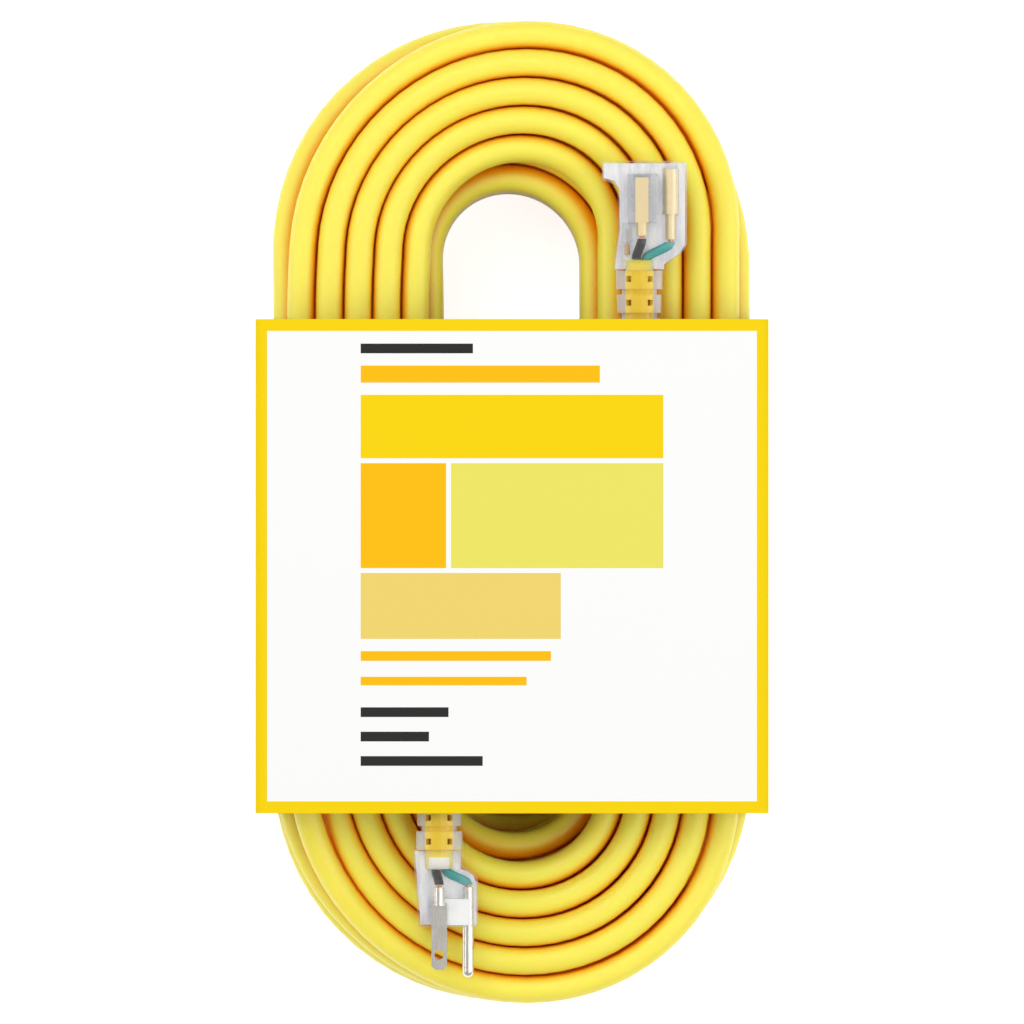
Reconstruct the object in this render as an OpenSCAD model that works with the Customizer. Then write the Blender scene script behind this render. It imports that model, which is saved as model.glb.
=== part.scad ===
// Outdoor extension cord: a hank of round cable, a clear lighted connector,
// a clear plug and the card sleeve that holds the hank together.
// Millimetres. Origin: bottom centre of the card sleeve's bounding box.
// +Y runs along the hank towards the connector, +Z is up from the table.

/* [Cord] */
// Outside diameter of the cord's jacket
cord_d = 11.2; // [8:0.1:14]
// Centreline radius of the tightest fold
fold_r = 34; // [30:1:60]
// Straight run between the two folds' centres
run_l = 208; // [160:2:400]
// Distance between turns side by side
turn_step = 11.8; // [11.7:0.1:16]
// Distance between layers of turns
layer_step = 11.8; // [11.6:0.1:16]
// How much higher the middle of the top layer lies
crown = 8; // [0:0.5:12]

/* [Sleeve] */
// Length of the card sleeve along the hank
sleeve_l = 202.5; // [120:0.5:260]
// Outside width of the card sleeve
sleeve_w = 210.4; // [205:0.1:260]
// Outside height of the card sleeve
sleeve_h = 119.6; // [118:0.1:150]
// Thickness of the card
card_t = 0.8; // [0.6:0.1:1.5]
// Outside radius of the sleeve's creased corners
crease_r = 3; // [1.5:0.5:6]
// Width of the glued overlap inside the back panel
flap_w = 20; // [15:1:40]

/* [Plug] */
// Length of the plug's moulded body
plug_l = 31.5; // [28:0.5:45]
// Depth of the plug's body across the two blades
plug_h = 24; // [20:0.5:30]
// Width of a blade
blade_w = 6.35; // [5.5:0.05:7]
// Thickness of a blade
blade_t = 1.5; // [1.2:0.05:1.8]
// Length of a blade that stands out of the face
blade_out = 17.8; // [15:0.1:20]
// Distance between the two blades' centres
blade_gap = 12.7; // [12:0.1:14]
// Distance from the blades' line to the ground pin's axis
ground_off = 11.9; // [11:0.1:13]
// Diameter of the ground pin
pin_d = 4.75; // [4.6:0.05:4.9]
// Length of the ground pin that stands out of the face
pin_out = 21; // [18:0.1:23]
// Diameter of the hole near each blade's tip
lock_d = 3.96; // [3:0.02:4.5]

/* [Connector] */
// Length of the connector's moulded body
conn_l = 44.9; // [40:0.1:60]
// Depth of the connector's body across its two slots
conn_h = 26; // [22:0.5:32]
// Width of the line slot
slot_w = 7.1; // [6.8:0.1:8]
// Width of the neutral slot, wider for a polarised blade
neutral_w = 8.3; // [8:0.1:9]
// Thickness of both slots
slot_t = 2.1; // [1.8:0.1:2.5]
// Diameter of the ground hole
ground_d = 5.2; // [5:0.1:5.6]
// Depth of the ground hole
ground_depth = 21.4; // [18:0.1:24]

/* [Strain reliefs] */
// Length of each segmented strain relief
relief_l = 39; // [30:1:60]
// Diameter of a strain relief at the moulded body
relief_big_d = 19; // [16:0.5:22]
// Diameter of a strain relief at its free end
relief_small_d = 16.4; // [15:0.2:20]

/* [Fits] */
// Gap left between a moulding and each piece inside it
mould_gap = 0.1; // [0.05:0.05:0.3]
// Gap between the cord and a strain relief's bore
relief_gap = 0.25; // [0.1:0.05:0.5]
// Gap between pieces that stand against each other
seat_gap = 0.2; // [0.1:0.05:0.4]

/* [Hidden] */
$fn = 48;

// ---- Colours --------------------------------------------------------------
yellow = [0.98, 0.84, 0.05];
clear = [0.85, 0.9, 0.95, 0.4];
white = [0.95, 0.95, 0.93];
black = [0.06, 0.06, 0.06];
green = [0.05, 0.62, 0.55];
nickel = [0.8, 0.8, 0.78];
brass = [0.86, 0.7, 0.36];
copper = [0.8, 0.45, 0.25];

// ---- The hank's layout ----------------------------------------------------
cord_r = cord_d / 2;
rest_gap = 0.3;
half_run = run_l / 2;
last_row = 6;
lay_z = card_t + rest_gap + cord_r;
top_shift = turn_step / 2;

// Radius of column position u, and height of row j at that position.
function col_r(u) = fold_r + u * turn_step;
function row_z(j, u) = lay_z + j * layer_step
    + crown * (j / last_row) * (1 - pow((u - 2.5) / 3, 2));
// Even rows lie half a turn further out than odd ones.
function cell_u(c) = c[1] + (c[0] % 2 == 0 ? 0.5 : 0);
function end_y(j) = half_run + (j == last_row ? top_shift : 0);

// How far each row's folds lean aside, per mm past the bound middle: those
// at the connector's end, then those at the plug's.
LEAN = [[0.04, 0.05], [-0.04, 0], [0.03, 0.05], [-0.05, -0.03],
    [0.02, 0.06], [-0.035, 0.02], [0.065, 0.06]];
lean_from = 80;
function past_middle(y) = let (a = abs(y) - lean_from)
    a < 0 ? 0 : a < 30 ? a * a / 60 : a - 15;
function aside(j, y) = past_middle(y) * LEAN[j][y < 0 ? 1 : 0];

// The outermost turns in the order the cord passes through them: row, turn.
CELLS = [[0, 0], [0, 1], [0, 2], [0, 3], [1, 5], [1, 0], [2, 0], [2, 4],
    [3, 5], [3, 0], [4, 0], [4, 4], [5, 5], [5, 0], [6, 0], [6, 1],
    [6, 2], [6, 3], [6, 4]];
// Stations of the shift from one turn to the next, on the left run.
SHIFT_Y = [-0.75, -0.336, 0.048, 0.462];
// Share of the sideways move, and of the climb, at each station.
SIDE = [0.10, 0.38, 0.66, 0.94];
CROSS = [0.14, 0.36, 0.60, 0.92];
CLIMB_OUT = [0, 0.10, 0.58, 0.96];
CLIMB_IN = [0.12, 0.39, 0.73, 0.96];

function side_share(a, b, n) =
    a[0] == b[0] && abs(a[1] - b[1]) > 1 ? CROSS[n] : SIDE[n];
function climb_share(a, b, n) =
    a[0] == b[0] ? 0 : a[0] % 2 == 0 ? CLIMB_OUT[n] : CLIMB_IN[n];

// The last fold rises towards the lead that leaves it.
end_lift = 11;
lift_from = 112;
function lift(c, turn, low) =
    low && c == CELLS[len(CELLS) - 1] && turn > lift_from
        ? end_lift * pow((turn - lift_from) / (180 - lift_from), 2) : 0;
last_point = [-col_r(4.5) + aside(last_row, -end_y(last_row) + cord_d),
    -end_y(last_row) + cord_d,
    row_z(last_row, 4.5) + end_lift + 0.21 * cord_d];

// One ring of the wound tube: centre, then its heading in the XY plane.
function arc_ring(c, turn, low) = let (
    r = col_r(cell_u(c)),
    a = (low ? 0 : 180) - turn,
    y = (low ? -1 : 1) * end_y(c[0]) + r * sin(a))
    [[r * cos(a) + aside(c[0], y), y,
        row_z(c[0], cell_u(c)) + lift(c, turn, low)], a - 90];
function shift_ring(a, b, n) = let (
    u = cell_u(a) + (cell_u(b) - cell_u(a)) * side_share(a, b, n),
    za = row_z(a[0], u),
    zb = row_z(b[0], u))
    [[-col_r(u), SHIFT_Y[n] * half_run,
        za + (zb - za) * climb_share(a, b, n)], 90];

first_point = [-col_r(0.5) + aside(0, half_run - cord_d),
    half_run - cord_d, row_z(0, 0.5)];
WOUND = concat(
    [[first_point, 90]],
    [for (i = [0:len(CELLS) - 1]) each concat(
        [for (n = [0:8]) arc_ring(CELLS[i], 22.5 * n, false)],
        [for (n = [0:8]) arc_ring(CELLS[i], 22.5 * n, true)],
        i == len(CELLS) - 1 ? [] :
            [for (n = [0:3]) shift_ring(CELLS[i], CELLS[i + 1], n)])],
    [[last_point, 90]]);

// ---- Where the two cord caps sit ------------------------------------------
plug_x = -29.9;
plug_z = 103.8;
plug_face_y = -170.1;
conn_x = 52.3;
conn_z = 104.8;
conn_face_y = 143.9;
plug_rear_y = plug_face_y + plug_l;
conn_rear_y = conn_face_y - conn_l;

// Free stretches of cord, as the points their centre passes through.
PLUG_ROUTE = [
    [plug_x, plug_rear_y + relief_l, plug_z], [-29, -88, 104],
    [-25.5, -76, 102], [-21, -64, 96.5], [-16, -52, 86.5],
    [-11.5, -42, 72], [-10.5, -33, 58.5], [-10.5, -24, 45.5],
    [-10.5, -15, 32], [-10.5, -6, 20.5], [-10.5, 4, 13], [-11, 15, 8.5],
    [-12.5, 27, lay_z], [-18, 40, lay_z], [-25, 53, lay_z],
    [-32, 66, lay_z], [-38, 79, lay_z],
    first_point];
CONN_ROUTE = [
    last_point, [-86.5, -82.5, 98.5], [-81.5, -67.5, 101],
    [-72, -54, 102.5], [-59.5, -44.5, 104], [-45.5, -36, 104.5],
    [-32, -27.5, 104.5], [-18, -19, 104.5], [-4.5, -10.5, 104.5],
    [9, -2, 104.5], [23, 7, 105], [36, 16, 105], [46, 29, 105],
    [51.5, 44, 105], [conn_x, conn_rear_y - relief_l, conn_z]];

// ---- Measures of the wound tube -------------------------------------------
function seg_gap(p, q, r, s) = let (
    d1 = q - p, d2 = s - r, w = p - r,
    a = d1 * d1, e = d2 * d2, f = d2 * w, c = d1 * w, b = d1 * d2,
    den = a * e - b * b,
    s0 = den > 1e-9 ? max(0, min(1, (b * f - c * e) / den)) : 0,
    t0 = max(0, min(1, (b * s0 + f) / e)),
    s1 = max(0, min(1, (b * t0 - c) / a)))
    norm(w + d1 * s1 - d2 * t0);
// The two tubes' outlines are flat sided, so their least gap is larger.
least_gap = min([for (i = [0:len(WOUND) - 2])
    for (j = [i + 6:1:min(i + 60, len(WOUND) - 2)])
        seg_gap(WOUND[i][0], WOUND[i + 1][0],
            WOUND[j][0], WOUND[j + 1][0])]) - cord_d * cos(30);
echo("least gap between turns of the wound tube, mm", least_gap);

// ---- Shared shapes --------------------------------------------------------
function unit(v) = v / norm(v);
// A point ring round centre p, square to direction t.
function ring(p, t, r, sides, turn) = let (
    side = unit(cross(t, [0, 0, 1])),
    up = cross(side, t))
    [for (k = [0:sides - 1]) let (a = turn + 360 * k / sides)
        p + side * r * cos(a) + up * r * sin(a)];

// A closed tube of triangles through a list of rings.
module ring_tube(rings, sides) {
    n = len(rings);
    points = [for (ring_n = rings) each ring_n];
    walls = [for (i = [0:n - 2]) for (k = [0:sides - 1]) let (
        a = i * sides + k,
        b = i * sides + (k + 1) % sides)
        each [[a, b, b + sides], [a, b + sides, a + sides]]];
    first = [for (k = [1:sides - 2]) [0, k + 1, k]];
    last_0 = (n - 1) * sides;
    last = [for (k = [1:sides - 2]) [last_0, last_0 + k, last_0 + k + 1]];
    polyhedron(points, concat(walls, first, last));
}

// A free stretch of cord along hand-set points, square at both ends.
module free_tube(route, sides) {
    n = len(route);
    function heading(i) = i == 0 || i == n - 1 ? [0, 1, 0]
        : unit(route[i + 1] - route[i - 1]);
    ring_tube([for (i = [0:n - 1])
        ring(route[i], heading(i), cord_r, sides, 180 / sides)], sides);
}

// A wire that leaves one end along Y, shifts aside and arrives along Y.
module wire(from, to, d) {
    steps = 6;
    gap = to - from;
    spot = function(t) [from[0] + gap[0] * t * t * (3 - 2 * t),
        from[1] + gap[1] * t, from[2] + gap[2] * t * t * (3 - 2 * t)];
    ring_tube([for (i = [0:steps]) ring(spot(i / steps),
        i == 0 || i == steps ? [0, sign(gap[1]), 0]
            : unit(spot((i + 0.5) / steps) - spot((i - 0.5) / steps)),
        d / 2, 10, 18)], 10);
}

// Outline with rounded corners: each entry is x, y, radius.
function fillet(p) = [for (i = [0:len(p) - 1]) let (
    m = len(p),
    a = [p[(i + m - 1) % m][0], p[(i + m - 1) % m][1]],
    c = [p[i][0], p[i][1]],
    b = [p[(i + 1) % m][0], p[(i + 1) % m][1]],
    r = p[i][2],
    ua = unit(a - c),
    ub = unit(b - c),
    half = acos(max(-1, min(1, ua * ub))) / 2,
    mid = c + unit(ua + ub) * (r / sin(half)),
    s = c + ua * (r / tan(half)) - mid,
    e = c + ub * (r / tan(half)) - mid,
    a0 = atan2(s[1], s[0]),
    sweep = ((atan2(e[1], e[0]) - a0 + 540) % 360) - 180)
    each (r == 0 ? [c] : [for (k = [0:5])
        mid + r * [cos(a0 + sweep * k / 5), sin(a0 + sweep * k / 5)]])];

// A body seen from above as one outline and from its end as another.
module two_way(top, end, length, height) {
    intersection() {
        translate([0, 0, -height]) linear_extrude(2 * height) polygon(top);
        translate([0, length, 0]) rotate([90, 0, 0])
            linear_extrude(2 * length) polygon(end);
    }
}

module along_y(y, h, d) {
    translate([0, y, 0]) rotate([-90, 0, 0]) cylinder(h = h, d = d);
}

module plug_place() {
    translate([plug_x, plug_face_y, plug_z]) children();
}

module conn_place() {
    translate([conn_x, conn_face_y, conn_z]) children();
}

// ---- The cord -------------------------------------------------------------
module hank_turns() {
    color(yellow) ring_tube([for (w = WOUND)
        ring(w[0], [cos(w[1]), sin(w[1]), 0], cord_r, 6, 30)], 6);
}

// Inner turns as one plain body. It stops short of the left run, where the
// outer turns cross over between their inner and outer places. Each entry is
// radius, height, row.
function core_edge(inner) = [for (j = [1:5]) each let (
    odd = j % 2 == 1,
    u = inner ? (odd ? 0 : 0.5) : (odd ? 5 : 4.5),
    r = col_r(u) + (inner ? 1 : -1) * (cord_r + 0.6) / cos(11.25),
    half_t = cord_r + (odd ? -0.6 : 0.4))
    [[r, row_z(j, u) - half_t, j], [r, row_z(j, u) + half_t, j]]];

CORE = concat(core_edge(true),
    [for (u = [1:0.75:4]) [col_r(u), row_z(5, u) + cord_r - 1.8, 5]],
    [for (i = [9:-1:0]) core_edge(false)[i]]);

// Along the core: end of the run, angle.
CORE_WAY = concat([for (n = [0:8]) [half_run, 180 - 22.5 * n]],
    [for (n = [0:8]) [-half_run, -22.5 * n]]);

module hank_core() {
    m = len(CORE);
    points = [for (w = CORE_WAY) each [for (c = CORE) let (
        y = w[0] + c[0] * sin(w[1]))
        [c[0] * cos(w[1]) + aside(c[2], y), y, c[1]]]];
    walls = [for (i = [0:len(CORE_WAY) - 2]) for (k = [0:m - 1]) let (
        a = i * m + k,
        b = i * m + (k + 1) % m)
        each [[a, b, b + m], [a, b + m, a + m]]];
    // Each end is level strips, then a fan over the crown.
    cap = concat([for (i = [0:8])
        each [[i, m - 2 - i, i + 1], [i, m - 1 - i, m - 2 - i]]],
        [for (k = [10:m - 11]) [9, k + 1, k]]);
    last_0 = (len(CORE_WAY) - 1) * m;
    color(yellow) polyhedron(points, concat(walls,
        [for (c = cap) [c[0], c[1], c[2]]],
        [for (c = cap) [last_0 + c[0], last_0 + c[2], last_0 + c[1]]]));
}

module plug_lead() {
    color(yellow) free_tube(PLUG_ROUTE, 12);
}

module connector_lead() {
    color(yellow) free_tube(CONN_ROUTE, 12);
}

// ---- The card sleeve ------------------------------------------------------
module sleeve_outline(inset) {
    w = sleeve_w / 2 - inset;
    polygon(fillet([[-w, inset, crease_r - inset],
        [w, inset, crease_r - inset],
        [w, sleeve_h - inset, crease_r - inset],
        [-w, sleeve_h - inset, crease_r - inset]]));
}

module sleeve() {
    sleeve_mid_y = -22.2;
    color(white) translate([0, sleeve_mid_y + sleeve_l / 2, 0])
        rotate([90, 0, 0]) linear_extrude(sleeve_l) {
            difference() {
                sleeve_outline(0);
                sleeve_outline(card_t);
            }
            translate([sleeve_w / 2 - crease_r - flap_w, card_t / 2])
                square([flap_w, card_t * 1.5]);
        }
}

// ---- Strain reliefs -------------------------------------------------------
// Segments with notches at both sides and a pair of windows in each.
module relief(segments) {
    pitch = relief_l / segments;
    waist = 2.2;
    difference() {
        union() {
            for (i = [0:segments - 1]) {
                big = relief_big_d
                    - (relief_big_d - relief_small_d) * i / (segments - 1);
                along_y(i * pitch, pitch - waist, big);
            }
            along_y(0, relief_l - waist, relief_small_d - 2);
            along_y(0, relief_l, cord_d + 2.4);
        }
        along_y(-1, relief_l + 2, cord_d + 2 * relief_gap);
        for (i = [0:segments - 1]) for (s = [-1, 1]) for (h = [-1, 1])
            translate([s * 4.4 - 1, i * pitch + 2.2, h > 0 ? 4 : -14])
                cube([2, 2.4, 10]);
    }
}

module plug_strain_relief() {
    color(clear) plug_place() translate([0, plug_l, 0]) relief(4);
}

module connector_strain_relief() {
    color(clear) conn_place() mirror([0, 1, 0])
        translate([0, conn_l, 0]) relief(4);
}

// ---- The plug -------------------------------------------------------------
jacket_cut = 23.6;
blade_root = 9.6;
barrel_end = 16;
barrel_d = 4.4;
// The pin's full round stops just short of the face.
pin_bare = 0.4;
pin_root_d = 4.4;
barrel_bore = 2.5;
wire_d = 3.9;
strand_d = 2.2;
bare_l = 1.2;
wire_gap = 0.5;
insert_depth = 11.3;
insert_start = 0.5;
wire_exit = [[-1.3, 2.25], [-1.3, -2.25], [2.6, 0]];

PLUG_TOP = fillet([[-8.4, 0, 0.8], [16, 0, 0.8], [16, 22.5, 6],
    [9.5, 24, 3], [9.5, plug_l, 0.6], [-10.7, plug_l, 0.6]]);
PLUG_END = fillet([[-10.7, -plug_h / 2, 3.5], [8, -plug_h / 2, 6],
    [16, -6, 4], [16, 6, 4], [8, plug_h / 2, 6],
    [-10.7, plug_h / 2, 3.5]]);

// One wire: out of the jacket, across, and up to its barrel.
module plug_wire(n, x, z) {
    wire([wire_exit[n][0], jacket_cut - wire_gap, wire_exit[n][1]],
        [x, barrel_end + bare_l, z], wire_d);
}

module blade(sign_z, grow) {
    tip = 1.6;
    translate([0, 0, sign_z * blade_gap / 2]) {
        translate([0, 0, -blade_t / 2 - grow])
            linear_extrude(blade_t + 2 * grow)
                polygon([[-blade_w / 2 + tip - grow, -blade_out - grow],
                    [blade_w / 2 - tip + grow, -blade_out - grow],
                    [blade_w / 2 + grow, -blade_out + tip],
                    [blade_w / 2 + grow, blade_root + grow],
                    [-blade_w / 2 - grow, blade_root + grow],
                    [-blade_w / 2 - grow, -blade_out + tip]]);
        along_y(blade_root - 1, barrel_end - blade_root + 1 + grow,
            barrel_d + 2 * grow);
    }
}

module drilled_blade(sign_z) {
    difference() {
        blade(sign_z, 0);
        translate([0, -11.7, sign_z * blade_gap / 2 - 5])
            cylinder(h = 10, d = lock_d);
        translate([0, 0, sign_z * blade_gap / 2])
            along_y(barrel_end - 4, 5, barrel_bore);
    }
}

module ground_pin(grow) {
    translate([ground_off, 0, 0]) {
        translate([0, -pin_out + pin_d / 2, 0])
            sphere(d = pin_d + 2 * grow);
        along_y(-pin_out + pin_d / 2, pin_out - pin_d / 2 - pin_bare,
            pin_d + 2 * grow);
        along_y(-pin_bare, pin_bare + blade_root + grow,
            pin_root_d + 2 * grow);
        along_y(blade_root - 1, barrel_end - blade_root + 1 + grow,
            barrel_d + 2 * grow);
    }
}

module insert_block(grow) {
    top = 5.2 + grow;
    translate([2 - grow, insert_start - grow, -top])
        cube([10.8 + 2 * grow, insert_depth - insert_start + 2 * grow,
            2 * top]);
}

// Space left in the moulding for the crimps and the wires.
module plug_space() {
    wide = 8.9;
    translate([-4.6, blade_root - 1.5, -wide])
        cube([11.2, jacket_cut - blade_root + 1.6, 2 * wide]);
    translate([0, 0, -2.7]) linear_extrude(5.4)
        polygon([[6, blade_root - 1.5], [15, blade_root - 1.5],
            [15, 17.5], [8.4, 23], [6, 23]]);
}

module plug_body() {
    half_w = blade_w / 2 + mould_gap;
    color(clear) plug_place() difference() {
        two_way(PLUG_TOP, PLUG_END, plug_l, plug_h);
        for (s = [-1, 1]) translate([-half_w, -1,
            s * blade_gap / 2 - blade_t / 2 - mould_gap])
            cube([2 * half_w, blade_root, blade_t + 2 * mould_gap]);
        translate([ground_off, 0, 0])
            along_y(-1, blade_root, pin_root_d + 2 * mould_gap);
        insert_block(mould_gap);
        plug_space();
        along_y(jacket_cut - mould_gap, plug_l, cord_d + 2 * mould_gap);
    }
}

module plug_insert() {
    color(white) plug_place() difference() {
        insert_block(0);
        ground_pin(mould_gap);
        blade(1, mould_gap);
        blade(-1, mould_gap);
    }
}

module plug_line_blade() {
    color(nickel) plug_place() drilled_blade(1);
}

module plug_neutral_blade() {
    color(nickel) plug_place() drilled_blade(-1);
}

module plug_ground_pin() {
    color(nickel) plug_place() difference() {
        ground_pin(0);
        translate([ground_off, 0, 0])
            along_y(barrel_end - 4, 5, barrel_bore);
    }
}

module plug_line_wire() {
    color(black) plug_place() plug_wire(0, 0, blade_gap / 2);
}

module plug_neutral_wire() {
    color(white) plug_place() plug_wire(1, 0, -blade_gap / 2);
}

module plug_ground_wire() {
    color(green) plug_place() plug_wire(2, ground_off, 0);
}

// Bared strands between each wire and the barrel it is crimped in.
module plug_copper_ends() {
    reach = 3.4 + bare_l - seat_gap;
    color(copper) plug_place() {
        for (z = [-1, 1]) translate([0, 0, z * blade_gap / 2])
            along_y(barrel_end - 3.4, reach, strand_d);
        translate([ground_off, 0, 0])
            along_y(barrel_end - 3.4, reach, strand_d);
    }
}

module plug_jacket_end() {
    color(yellow) plug_place()
        along_y(jacket_cut, plug_l + relief_l - jacket_cut, cord_d);
}

// ---- The connector --------------------------------------------------------
// Lengths into this body are negative along Y.
conn_jacket_cut = 40.6;
contact_x = 1;
contact_w = 5.4;
contact_t = 3.5;
contact_near = 6.7;
contact_far = 25.2;
conn_ground_x = ground_off + contact_x;
ground_near = 3;
ground_far = 21.6;
ground_out_d = 6.6;
conn_barrel = 30.6;
ground_barrel = 32;

CONN_TOP = fillet([[-15.4, 0, 0.6], [19.5, 0, 1], [19.5, -36, 7],
    [10.8, -42.5, 1.5], [10.8, -conn_l, 0.6], [-10.6, -conn_l, 0.6],
    [-10.6, -42.7, 2], [-8.8, -28.6, 8], [-8.8, -9.5, 5],
    [-15.4, -7.4, 1.5]]);
CONN_END = fillet([[-15.4, -5, 2], [-9.5, -conn_h / 2, 4],
    [12, -conn_h / 2, 6], [19.5, -6, 4], [19.5, 6, 4],
    [12, conn_h / 2, 6], [-9.5, conn_h / 2, 4], [-15.4, 5, 2]]);

module conn_wire(n, x, z, far) {
    wire([wire_exit[n][0], -conn_jacket_cut + wire_gap, wire_exit[n][1]],
        [x, -far - bare_l, z], wire_d);
}

// A folded contact with a way through for one blade.
module contact(sign_z) {
    translate([contact_x, 0, sign_z * blade_gap / 2]) difference() {
        union() {
            translate([-contact_w / 2, -contact_far, -contact_t / 2])
                cube([contact_w, contact_far - contact_near, contact_t]);
            along_y(-conn_barrel, conn_barrel - contact_far, barrel_d);
        }
        translate([-contact_w, -contact_far + 4, -blade_t / 2 - 0.1])
            cube([2 * contact_w, contact_far, blade_t + 0.2]);
        along_y(-conn_barrel - 1, 4.8, barrel_bore);
    }
}

module ground_contact(grow) {
    translate([conn_ground_x, 0, 0]) {
        along_y(-ground_far - grow, ground_far - ground_near + 2 * grow,
            ground_out_d + 2 * grow);
        along_y(-ground_barrel - grow, ground_barrel - ground_far + 1,
            barrel_d + 2 * grow);
    }
}

module carrier_block(grow) {
    half_z = blade_gap / 2 - contact_t / 2 - 0.3 + grow;
    translate([-4.9 - grow, -contact_far - grow, -half_z])
        cube([12.7 + 2 * grow, contact_far - 5.2 + 2 * grow,
            2 * half_z]);
}

// The neon lamp lies beside the wires, its resistor in line behind it.
lamp_x = -5;
lamp_y = -33.2;
lamp_d = 4;
lamp_l = 7.6;
lead_d = 0.6;
res_d = 2.3;
res_l = 4.2;
res_y = lamp_y - 0.9 - res_l;

// Space left in the moulding for the crimps, the wires and the lamp.
module conn_space() {
    wide = 8.9;
    translate([-7.6, -conn_jacket_cut - 0.1, -wide])
        cube([12.6, conn_jacket_cut - contact_far + 0.2, 2 * wide]);
    translate([0, 0, -2.7]) linear_extrude(5.4)
        polygon([[4, -conn_jacket_cut + 0.6], [12.8, -conn_jacket_cut + 0.2],
            [16, -34], [16, -ground_far - 0.1], [4, -ground_far - 0.1]]);
}

module connector_body() {
    slots = [[slot_w, 1], [neutral_w, -1]];
    color(clear) conn_place() difference() {
        two_way(CONN_TOP, CONN_END, conn_l, conn_h);
        for (s = slots) translate([contact_x - s[0] / 2,
            -contact_near - 1, s[1] * blade_gap / 2 - slot_t / 2])
            cube([s[0], contact_near + 2, slot_t]);
        for (s = [-1, 1]) translate([contact_x - contact_w / 2
            - mould_gap, -contact_far - 0.1,
            s * blade_gap / 2 - contact_t / 2 - mould_gap])
            cube([contact_w + 2 * mould_gap, contact_far
                - contact_near + 0.2, contact_t + 2 * mould_gap]);
        translate([conn_ground_x, 0, 0]) {
            along_y(-ground_far - 0.2, ground_far - ground_near + 0.3,
                ground_out_d + 2 * mould_gap);
            along_y(-ground_near - 1, ground_near + 2, ground_d);
        }
        carrier_block(mould_gap);
        conn_space();
        along_y(-conn_l - 1, conn_l + 1 - conn_jacket_cut + mould_gap,
            cord_d + 2 * mould_gap);
    }
}

module contact_carrier() {
    color(white) conn_place() carrier_block(0);
}

module connector_line_contact() {
    color(brass) conn_place() contact(1);
}

module connector_neutral_contact() {
    color(brass) conn_place() contact(-1);
}

module connector_ground_contact() {
    color(brass) conn_place() difference() {
        ground_contact(0);
        translate([conn_ground_x, 0, 0]) {
            along_y(-ground_depth, ground_depth, ground_d);
            along_y(-ground_barrel - 1, 4.8, barrel_bore);
        }
    }
}

module connector_line_wire() {
    color(black) conn_place()
        conn_wire(0, contact_x, blade_gap / 2, conn_barrel);
}

module connector_neutral_wire() {
    color(white) conn_place()
        conn_wire(1, contact_x, -blade_gap / 2, conn_barrel);
}

module connector_ground_wire() {
    color(green) conn_place()
        conn_wire(2, conn_ground_x, 0, ground_barrel);
}

module connector_copper_ends() {
    reach = 3.4 + bare_l - seat_gap;
    color(copper) conn_place() {
        for (z = [-1, 1]) translate([contact_x, 0, z * blade_gap / 2])
            along_y(-conn_barrel - bare_l + seat_gap, reach, strand_d);
        translate([conn_ground_x, 0, 0])
            along_y(-ground_barrel - bare_l + seat_gap, reach, strand_d);
    }
}

module connector_jacket_end() {
    color(yellow) conn_place() along_y(-conn_l - relief_l,
        conn_l + relief_l - conn_jacket_cut, cord_d);
}

// ---- The indicator lamp ---------------------------------------------------
module indicator_lamp() {
    color(clear) conn_place() translate([lamp_x, 0, 0]) difference() {
        along_y(lamp_y, lamp_l, lamp_d);
        along_y(lamp_y - 1, lamp_l - 0.4, lamp_d - 1);
    }
}

// Two electrodes in the glass, and the wire on to the resistor.
module lamp_leads() {
    color(copper) conn_place() translate([lamp_x, 0, 0]) {
        for (z = [-0.7, 0.7]) translate([0, 0, z])
            along_y(lamp_y - 0.7, 5.6, lead_d);
        along_y(res_y - 0.9, 0.9 - seat_gap / 2, lead_d);
    }
}

module lamp_resistor() {
    color(brass) conn_place() translate([lamp_x, 0, 0])
        along_y(res_y, res_l, res_d);
}

// ---- Which piece is drawn -------------------------------------------------
hank_turns();
hank_core();
plug_lead();
connector_lead();
sleeve();
plug_jacket_end();
plug_body();
plug_strain_relief();
plug_insert();
plug_line_blade();
plug_neutral_blade();
plug_ground_pin();
plug_line_wire();
plug_neutral_wire();
plug_ground_wire();
plug_copper_ends();
connector_jacket_end();
connector_body();
connector_strain_relief();
contact_carrier();
connector_line_contact();
connector_neutral_contact();
connector_ground_contact();
connector_line_wire();
connector_neutral_wire();
connector_ground_wire();
connector_copper_ends();
indicator_lamp();
lamp_leads();
lamp_resistor();
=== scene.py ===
"""Outdoor extension cord: a hank of round cord in a printed card sleeve,
with a clear plug and a clear lighted connector. Metres, +Z up."""

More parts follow.
